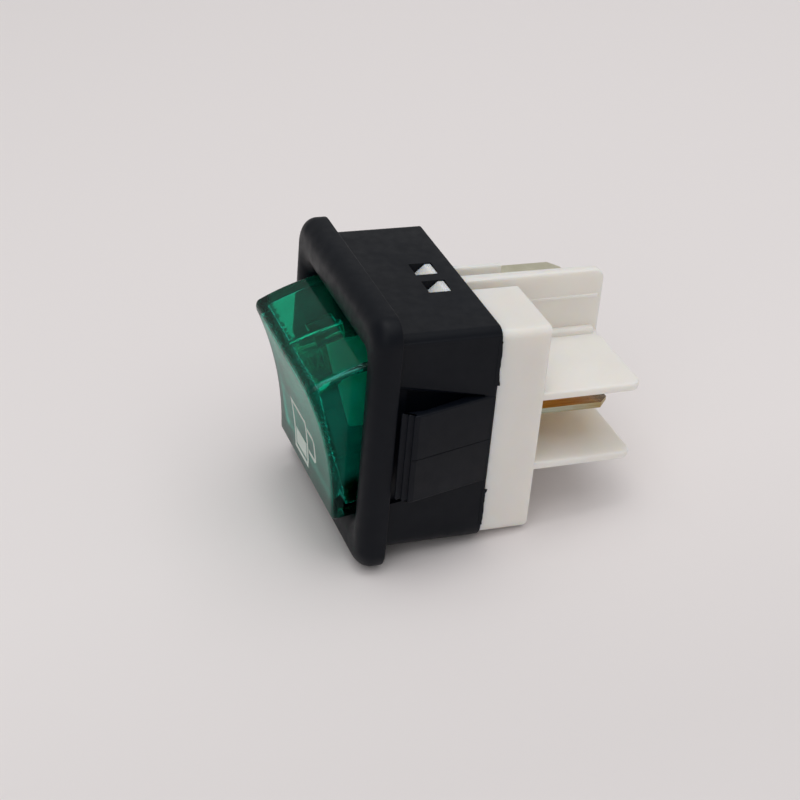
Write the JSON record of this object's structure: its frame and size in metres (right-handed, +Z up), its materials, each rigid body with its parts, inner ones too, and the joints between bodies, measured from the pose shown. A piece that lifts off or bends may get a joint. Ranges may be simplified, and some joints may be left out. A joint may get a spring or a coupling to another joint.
{
  "type": "illuminated rocker switch",
  "caption": "Snap-in panel rocker switch with a translucent lamp-lit rocker, rounded bezel, side snap wings and a finned rear base carrying flat push-on tabs.",
  "frame": {"origin": "centre of the panel cut-out at the panel's front face, which is the bezel's rear plane", "axes": "+X across the switch along the rocker's pivot, +Y to the rear along the terminals, +Z up towards the raised end of the rocker"},
  "size_m": [0.0336, 0.0402, 0.0324],
  "materials": {
    "housing_plastic": "fine satin grain",
    "lens_plastic": "polished translucent green",
    "base_plastic": "satin",
    "plunger_plastic": "satin",
    "spring_steel": "drawn wire",
    "contact_copper": "stamped",
    "contact_silver": "satin",
    "tab_brass": "stamped, slightly dull",
    "lamp_glass": "clear",
    "resistor_body": "lacquered",
    "lead_wire": "tinned",
    "sleeve_plastic": "woven sleeving"
  },
  "bodies": {
    "switch_body": {"housing": "housing_plastic", "base": "base_plastic", "load_terminal": "tab_brass", "load_rivet": "contact_silver", "common_terminal": "tab_brass", "lamp_terminal": "tab_brass", "lamp_glass": "lamp_glass", "lamp_electrodes": "spring_steel", "lamp_resistor": "resistor_body", "lead_live": "lead_wire", "lead_link": "lead_wire", "lead_neutral": "lead_wire", "lead_sleeve": "sleeve_plastic"},
    "rocker": {"rocker_lens": "lens_plastic", "plunger_spring": "spring_steel"},
    "plunger": {"plunger": "plunger_plastic"},
    "bridge": {"contact_bridge": "contact_copper", "bridge_rivet": "contact_silver"}
  },
  "joints": [
    {"name": "rocker_hinge", "type": "hinge", "parent": "switch_body", "child": "rocker", "pos_m": [0, -0.0003, 0], "axis": [1, 0, 0], "range_deg": [-30.4, 0]},
    {"name": "bridge_hinge", "type": "hinge", "parent": "switch_body", "child": "bridge", "pos_m": [-0.0065, 0.0082, 0], "axis": [1, 0, 0], "range_deg": [0, 14]},
    {"name": "plunger_slide", "type": "slide", "parent": "rocker", "child": "plunger", "axis": [0, -0.965, -0.2622], "range_m": [0, 0.0008], "stiffness_N_per_m": 800, "springref_m": -0.002, "deforming": ["plunger_spring"]}
  ],
  "couplings": [
    {"joint": "bridge_hinge", "follows": "rocker_hinge", "ratio": -0.4605}
  ]
}
